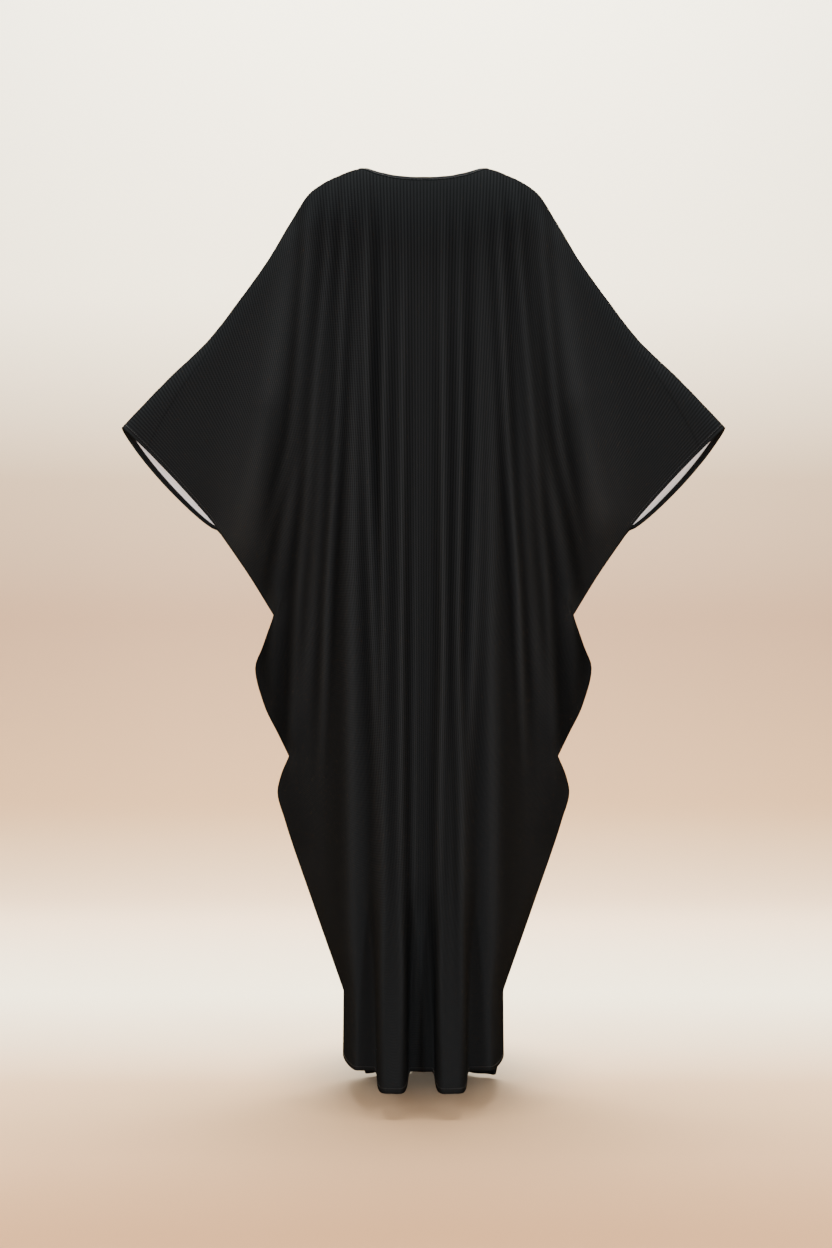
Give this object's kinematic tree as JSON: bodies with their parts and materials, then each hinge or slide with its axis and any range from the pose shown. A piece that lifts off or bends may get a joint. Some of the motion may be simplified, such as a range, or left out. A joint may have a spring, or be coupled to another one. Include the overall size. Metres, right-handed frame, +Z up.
{
  "type": "kaftan dress",
  "caption": "Full-length loose kaftan dress with wide sleeves cut in one with the body, in the hollow form that it takes when worn.",
  "frame": {"origin": "middle of the neck opening, at the height of its two points on the shoulders, where the wearer's shoulders hold the dress", "axes": "+Z up, the back of the dress faces +Y and the front -Y, +X towards the wearer's left"},
  "size_m": [0.9366, 0.3477, 1.4283],
  "materials": {
    "black_cloth": "fine ribbed knit with a soft low sheen, black outside",
    "white_reverse": "smooth matte reverse of the cloth, cool white"
  },
  "bodies": {
    "root": {"back_panel": "black_cloth", "front_panel": "black_cloth", "neck_binding": "black_cloth"}
  },
  "joints": []
}
